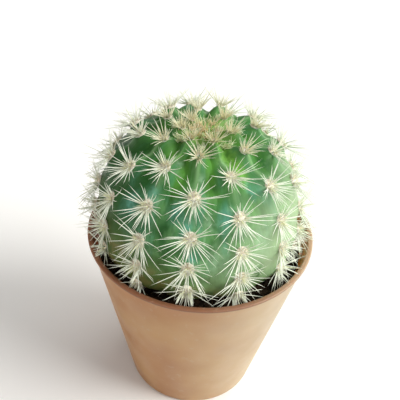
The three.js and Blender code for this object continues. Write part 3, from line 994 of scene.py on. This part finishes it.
soilLook = {
    "gap": 0.3,           # to the pot
    "crumb": 0.45,        # height of the crumbs on top
    "crumbSizes": (1.3, 0.55),
    "edge": 0.6,          # how much lower the top is at the wall
    "edgeInset": 0.3,
    "wallRings": 12,
    "topRings": 26,
    "holeStep": 30,       # points of the plant's outline from one ring of the hole to the next
    "sides": 240,
    "grains": 900,
    "grainSize": (0.18, 0.62),
    "grainsFrom": -4.0,   # from the plant's radius outwards,
    "grainsTo": -0.8,     # to this much past the wall
    "grainHeight": (-0.1, 0.35),
    "grainSquash": (0.6, 1.0),
    "grainBumps": 0.22,
    "dark": (0.010, 0.007, 0.004, 1),
    "brown": (0.050, 0.031, 0.016, 1),
    "fibre": (0.120, 0.085, 0.045, 1),
}


# The soil as rings: up the pot's wall, across the crumbly top, where the height is two sizes of noise,
# and down the hole that the plant stands in
def makeSoil():
    gap = soilLook["gap"]
    bottom = potShape["floor"] + gap
    shoulder = soilTop - soilLook["edge"]
    buried = (outlineZ < soilTop) & (polar > np.pi / 2)
    holeR = outlineR[buried][::soilLook["holeStep"]] + gap
    holeZ = outlineZ[buried][::soilLook["holeStep"]] - gap
    edgeR = potInside(shoulder) - gap - soilLook["edgeInset"]
    wallZ = np.linspace(bottom, shoulder, soilLook["wallRings"])
    share = np.linspace(0, 1, soilLook["topRings"])
    neckR = plant["neckRadius"]
    radii = [*(potInside(wallZ) - gap), *(edgeR + (holeR[0] - edgeR) * share), *holeR[1:],
             neckR + gap, neckR * plant["neckTaper"] + gap]
    heights = [*wallZ, *(soilTop + 0 * share), *holeZ[1:],
               outlineZ[-1] - plant["shoulder"] - gap, neckBottom - gap]
    top = slice(len(wallZ), len(wallZ) + len(share))
    shift = np.concatenate([0 * wallZ, share, np.ones(len(radii) - top.stop)])
    rings = circlePoint(np.array(radii)[:, None], turns(soilLook["sides"]), np.array(heights)[:, None])
    rings = rings + shift[:, None, None] * plantShift
    sizes = zip(soilLook["crumbSizes"], seeds["crumbs"])
    coarse, fine = (softNoise(rings[top], cell, seed) for cell, seed in sizes)
    crumbs = np.clip(coarse + 0.6 * fine, -1, 1)
    rings[top, :, 2] += 0.9 * soilLook["crumb"] * crumbs - soilLook["edge"] * (share[:, None] == 0)
    points, faces = closedStacks(rings[None], (0, 0, bottom), (*plantOffset, neckBottom - gap))
    grainPoints, grainFaces = makeGrains()
    faces = faces + [grainFaces + len(points)]
    return addMesh("pottingSoil", np.concatenate([points, grainPoints]), faces, makeSoilMaterial())


# Loose grains on the soil: octahedra with one middle point on each edge, pushed to uneven lumps
def makeGrains():
    draw = np.random.default_rng(seeds["grains"])
    count = soilLook["grains"]
    corners = np.array([[1, 0, 0], [-1, 0, 0], [0, 1, 0], [0, -1, 0], [0, 0, 1], [0, 0, -1]], float)
    coarse = np.array([[0, 2, 4], [2, 1, 4], [1, 3, 4], [3, 0, 4],
                       [2, 0, 5], [1, 2, 5], [3, 1, 5], [0, 3, 5]])
    sides = np.concatenate([coarse[:, [0, 1]], coarse[:, [1, 2]], coarse[:, [2, 0]]])
    edges = np.unique(np.sort(sides, axis=1), axis=0)
    middle = corners[edges].mean(1)
    lump = np.concatenate([corners, unit(middle)])
    pair = np.zeros((6, 6), int)
    pair[edges[:, 0], edges[:, 1]] = pair[edges[:, 1], edges[:, 0]] = 6 + np.arange(len(edges))
    a, b, c = coarse.T
    ab, bc, ca = pair[a, b], pair[b, c], pair[c, a]
    faces = np.concatenate([np.stack(f, 1) for f in ((a, ab, ca), (ab, b, bc), (ca, bc, c), (ab, bc, ca))])
    angle = draw.uniform(0, 2 * np.pi, count)
    share = draw.uniform(0, 1, count)
    inner, outer = plant["radius"] + soilLook["grainsFrom"], potInside(soilTop) + soilLook["grainsTo"]
    radius = inner + (outer - inner) * share
    centre = circlePoint(radius, angle, soilTop)
    size = draw.uniform(*soilLook["grainSize"], count)
    centre[:, 2] += draw.uniform(*soilLook["grainHeight"], count)
    squash = draw.uniform(*soilLook["grainSquash"], (count, 1, 3))
    most = soilLook["grainBumps"]
    bumps = 1 + draw.uniform(-most, most, (count, len(lump), 1))
    points = centre[:, None] + lump[None] * size[:, None, None] * squash * bumps
    return points.reshape(-1, 3), repeatFaces([faces], count, len(lump))[0]


def makeSoilMaterial():
    material, tree, shader, place = newMaterial("darkPeat", Roughness=0.95, Specular_IOR_Level=0.2)
    colour = blend(tree, patches(tree, place, 1.1, 0.5, 0.15), soilLook["dark"], soilLook["brown"])
    colour = layer(tree, colour, soilLook["fibre"], 0.6, patches(tree, place, 0.5, 0.68, 0.04))
    tree.links.new(colour, shader.inputs["Base Color"])
    tree.links.new(relief(tree, place, 0.3, 0.4, 0.8, 0.3), shader.inputs["Normal"])
    return material


# The pot

potLook = {
    "sides": 180,
    "drainSides": 32,
    "lipRound": 0.30,
    "underLip": 0.12,
    "footRound": 0.70,
    "sharpAngle": 40,
    "body": (0.385, 0.168, 0.054, 1),
    "thin": (0.490, 0.272, 0.112, 1),    # paler clouds in the thin plastic
    "fadeAndPaintedLight": (0.560, 0.480, 0.335, 1),   # painted light: the side towards the lamps, paler
    "paintedLightBetween": (-8.0, 22.0),        # along X
    "edge": (0.205, 0.092, 0.055, 1),    # the darker, redder lip,
    "edgeBelow": (1.6, 0.7),             # along X, where the painted light sets in and where it is full
    "edgeLit": (8.0, 26.0, 0.85, 0.35),  # and along X, where it fades towards the lit side as painted light, with its amounts there
    "dust": (0.480, 0.380, 0.270, 1),
}


# A profile whose corners (radius, height, rounding) are each replaced by a quadratic curve that
# starts and ends at the rounding's distance, with one more point on the straight parts beside it
def roundedProfile(corners, steps=6):
    corners = np.array(corners, float)
    points = [corners[0, :2]]
    for before, here, after in zip(corners[:-2], corners[1:-1], corners[2:]):
        toBefore, toAfter = unit(before[:2] - here[:2]), unit(after[:2] - here[:2])
        start, end = here[:2] + toBefore * here[2], here[:2] + toAfter * here[2]
        t = np.linspace(0, 1, steps)[:, None]
        curve = (1 - t) ** 2 * start + 2 * t * (1 - t) * here[:2] + t ** 2 * end
        margin = 0.25 * here[2]
        points += [start + toBefore * margin, *curve, end + toAfter * margin]
    return np.array([*points, corners[-1, :2]])


def makePot():
    shape, look = potShape, potLook
    wallTop = shape["height"] - shape["lipHeight"]
    profile = roundedProfile([
        (0, 0, 0),
        (potInside(0) + shape["wall"], 0, look["footRound"]),
        (potInside(wallTop) + shape["wall"], wallTop, look["underLip"]),
        (shape["lipRadius"], wallTop, look["lipRound"]),
        (shape["lipRadius"], shape["height"], look["lipRound"]),
        (potInside(shape["height"]), shape["height"], look["lipRound"]),
        (potInside(shape["floor"]), shape["floor"], look["footRound"]),
        (0, shape["floor"], 0),
    ])
    rings = circlePoint(profile[1:-1, :1], turns(look["sides"]), profile[1:-1, 1:])
    points, faces = closedStacks(rings[None], (0, 0, 0), (0, 0, shape["floor"]))
    material = makePotMaterial()
    piece = addMesh("plasticPot", points, faces, material)
    drill = addMesh("drill", *drainCutters(), material)
    cut = piece.modifiers.new("drainHoles", "BOOLEAN")
    cut.object, cut.operation, cut.solver = drill, "DIFFERENCE", "EXACT"
    bpy.context.view_layer.update()
    whole = piece.data
    piece.data = bpy.data.meshes.new_from_object(piece.evaluated_get(bpy.context.evaluated_depsgraph_get()))
    piece.modifiers.clear()
    bpy.data.objects.remove(drill)
    bpy.data.meshes.remove(whole)
    piece.data.name = "plasticPot"
    piece.data.set_sharp_from_angle(angle=np.radians(look["sharpAngle"]))
    return piece


# Upright rods through the floor, on a circle
def drainCutters():
    middle = circlePoint(potShape["drainCircle"], turns(potShape["drains"]) + np.pi / 2)
    circle = circlePoint(potShape["drainRadius"], turns(potLook["drainSides"]))
    low, high = np.array([0, 0, -1.0]), np.array([0, 0, potShape["floor"] + 1.0])
    rings = middle[:, None, None] + circle[None, None] + np.stack([low, high])[None, :, None]
    return closedStacks(rings, middle + low, middle + high)


def makePotMaterial():
    look = potLook
    material, tree, shader, place = newMaterial(
        "thinTanPlastic", Specular_IOR_Level=0.45, Subsurface_Weight=0.35, Subsurface_Scale=0.004,
        Subsurface_Radius=(1.0, 0.6, 0.35))
    across, height = acrossAndHeight(tree, place)
    colour = blend(tree, patches(tree, place, 16.0, 0.5, 0.25), look["body"], look["thin"])
    # Painted light: the pot paler towards +X, the side the lamps light
    colour = layer(tree, colour, look["fadeAndPaintedLight"], 0.7, rangeOf(tree, across, *look["paintedLightBetween"]))
    # The darker, redder lip, less of it towards +X as painted light
    onLip = rangeOf(tree, maths(tree, "SUBTRACT", potShape["height"], height), *look["edgeBelow"])
    colour = layer(tree, colour, look["edge"], onLip, rangeOf(tree, across, *look["edgeLit"]))
    colour = layer(tree, colour, look["dust"], 0.22, patches(tree, place, 1.6, 0.66, 0.06))
    tree.links.new(colour, shader.inputs["Base Color"])
    tree.links.new(glossOf(tree, place, 0.34, 0.15, 6.0, 0.5, 0.2), shader.inputs["Roughness"])
    tree.links.new(relief(tree, place, 0.9, 0.2, 0.12, 0.08), shader.inputs["Normal"])
    return material


finishPiece(makeSkin(), "cactus_skin", "cactus")
finishPiece(makeFelt(), "areole_felt")
finishPiece(makeFans(), "spine")
finishPiece(makeCentrals(), "young_spine")
finishPiece(makeSoil(), "soil_mix", "soil")
finishPiece(makePot(), "pot_plastic", "pot")

# The stage: a pale floor, soft light and the camera

stage = {
    "floorHalf": 3000.0,
    "floor": (0.93, 0.93, 0.92, 1),
    "world": (0.97, 0.99, 1.0, 1),
    "worldStrength": 0.20,
}

# Soft distant lights: the direction that each comes from, how wide it looks (degrees) and its strength
lights = {
    "windowRight": {"comesFrom": (0.80, -0.20, 0.62), "spread": 36, "strength": 3.1,
                    "colour": (1.0, 0.985, 0.95)},
    "backRight": {"comesFrom": (0.80, 0.60, 0.50), "spread": 60, "strength": 1.5,
                  "colour": (1.0, 1.0, 0.96)},
    "softTop": {"comesFrom": (-0.25, -0.55, 1.0), "spread": 90, "strength": 0.60,
                "colour": (1.0, 1.0, 1.0)},
    "warmLeft": {"comesFrom": (-1.0, -0.45, 0.18), "spread": 80, "strength": 0.45,
                 "colour": (1.0, 0.64, 0.38)},
}

view = {
    "frame": 400,         # pixels across
    "focal": 650,         # the focal length in such pixels
    "sensor": 36.0,
    "elevation": 40.96,
    "distance": 145.35,   # to the middle of the lip
    "roll": 4.2,
    "lipRight": 2.9,      # pixels from the middle of the frame to that point
    "lipBelow": 26.3,
    "nearest": 5.0,       # what is nearer isn't drawn
}


def makeStage():
    half = stage["floorHalf"]
    points = np.array([[-half, -half, 0], [half, -half, 0], [half, half, 0], [-half, half, 0]])
    material, _, shader, _ = newMaterial("paleFloor", Roughness=0.8, Specular_IOR_Level=0.2)
    shader.inputs["Base Color"].default_value = stage["floor"]
    floor = addMesh("floor", points, [np.array([[0, 1, 2, 3]])], material)
    world = bpy.data.worlds.new("paleRoom")
    world.use_nodes = True
    tree = world.node_tree
    background = tree.nodes["Background"]
    background.inputs["Color"].default_value = stage["world"]
    seen = addNode(tree, "LightPath").outputs["Is Camera Ray"]
    strength = rangeOf(tree, seen, 0.0, 1.0, stage["worldStrength"], 1.0)
    tree.links.new(strength, background.inputs["Strength"])
    bpy.context.scene.world = world


def addLight(name, comesFrom, spread, strength, colour):
    lamp = bpy.data.lights.new(name, "SUN")
    lamp.angle = np.radians(spread)
    lamp.energy = strength
    lamp.color = colour
    made = addObject(name, lamp)
    made.rotation_mode = "QUATERNION"
    made.rotation_quaternion = Vector(comesFrom).to_track_quat("Z", "Y")


# The camera looks at the middle of the lip from its elevation and distance, is turned so that this
# point lands beside the middle of the frame, and is rolled about its own axis
def makeCamera():
    elevation, roll = np.radians([view["elevation"], view["roll"]])
    back = np.array([0, -np.cos(elevation), np.sin(elevation)])
    place = np.array([0, 0, potShape["height"]]) + back * view["distance"]
    right = np.array([1.0, 0, 0])
    up = np.cross(back, right)
    look = -back - right * view["lipRight"] / view["focal"] + up * view["lipBelow"] / view["focal"]
    backward = unit(-look)
    level = unit(np.cross([0, 0, 1.0], backward))
    upright = np.cross(backward, level)
    rightward = np.cos(roll) * level + np.sin(roll) * upright
    upward = -np.sin(roll) * level + np.cos(roll) * upright
    data = bpy.data.cameras.new("photoCamera")
    data.sensor_width = view["sensor"]
    data.lens = view["focal"] / view["frame"] * view["sensor"]
    data.clip_start = view["nearest"] * millimetre
    made = addObject("photoCamera", data)
    turned = Matrix(np.column_stack([rightward, upward, backward]).tolist()).to_4x4()
    turned.translation = place * millimetre
    made.matrix_world = turned
    bpy.context.scene.camera = made


makeStage()
for name, values in lights.items():
    addLight(name, **values)
makeCamera()
bpy.context.scene.view_settings.view_transform = "Standard"
print("stage, lights and camera are ready")
